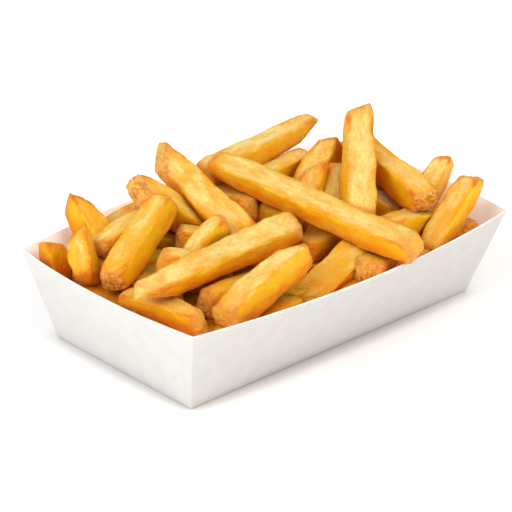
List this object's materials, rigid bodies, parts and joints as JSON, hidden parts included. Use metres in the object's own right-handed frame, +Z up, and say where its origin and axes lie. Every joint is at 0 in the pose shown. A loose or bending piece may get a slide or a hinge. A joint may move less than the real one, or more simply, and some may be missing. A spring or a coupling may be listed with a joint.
{
  "type": "french fries in a paperboard tray",
  "caption": "Thick-cut french fries heaped in an open, flared tray of plain white folded board with bowed walls.",
  "frame": {"origin": "middle of the tray's underside, on the surface that it stands on", "axes": "+X along the tray, +Y across it, +Z up"},
  "size_m": [0.1913, 0.1227, 0.0773],
  "materials": {
    "board": "matte white paperboard",
    "fried_potato": "golden fried potato with a thin film of oil"
  },
  "bodies": {
    "root": {"carton": "board", "fries_heap": "fried_potato"}
  },
  "joints": []
}
